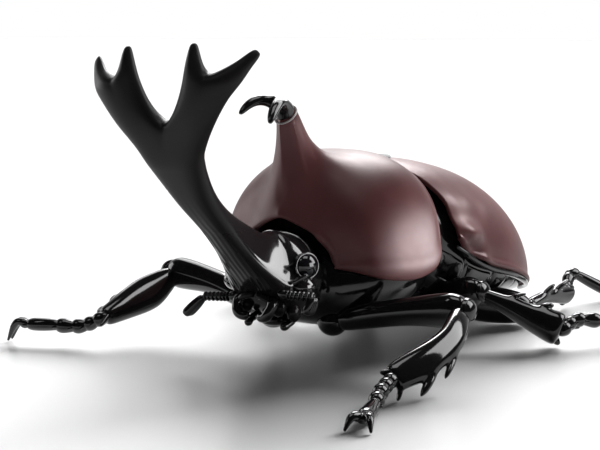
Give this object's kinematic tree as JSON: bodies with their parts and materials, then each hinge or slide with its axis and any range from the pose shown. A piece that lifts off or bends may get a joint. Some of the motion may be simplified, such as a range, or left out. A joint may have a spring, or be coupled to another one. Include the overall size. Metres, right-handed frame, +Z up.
{
  "type": "plastic model of a japanese rhinoceros beetle",
  "caption": "Glossy plastic model of a male Japanese rhinoceros beetle standing on its six legs, with a forked head horn, a hooked thoracic horn and closed wing cases.",
  "frame": {"origin": "middle of the object's base, on the floor it stands on", "axes": "+X to the beetle's left, +Y from its head to its tail, +Z up"},
  "size_m": [0.0692, 0.0848, 0.0378],
  "materials": {
    "black": "gloss",
    "eye": "high gloss",
    "brown": "satin",
    "horn_tip": "gloss"
  },
  "bodies": {
    "root": {"abdomen": "black", "antenna_club_left": "black", "antenna_club_right": "black", "antenna_left": "black", "antenna_right": "black", "claws_front_left": "black", "claws_front_right": "black", "claws_hind_left": "black", "claws_hind_right": "black", "claws_middle_left": "black", "claws_middle_right": "black", "coxa_front_left": "black", "coxa_front_right": "black", "coxa_hind_left": "black", "coxa_hind_right": "black", "coxa_middle_left": "black", "coxa_middle_right": "black", "elytron_left": "brown", "elytron_right": "brown", "eye_left": "eye", "eye_right": "eye", "femur_front_left": "black", "femur_front_right": "black", "femur_hind_left": "black", "femur_hind_right": "black", "femur_middle_left": "black", "femur_middle_right": "black", "head": "black", "horn_branch_left": "black", "horn_branch_right": "black", "horn_stem": "black", "mandible_left": "black", "mandible_right": "black", "mentum": "black", "palp_left": "black", "palp_right": "black", "pronotum": "brown", "prosternum": "black", "pterothorax": "black", "pygidium": "black", "scutellum": "black", "tarsus_front_left": "black", "tarsus_front_right": "black", "tarsus_hind_left": "black", "tarsus_hind_right": "black", "tarsus_middle_left": "black", "tarsus_middle_right": "black", "thoracic_horn": "brown", "thoracic_horn_tip": "horn_tip", "tibia_front_left": "black", "tibia_front_right": "black", "tibia_hind_left": "black", "tibia_hind_right": "black", "tibia_middle_left": "black", "tibia_middle_right": "black"}
  },
  "joints": []
}
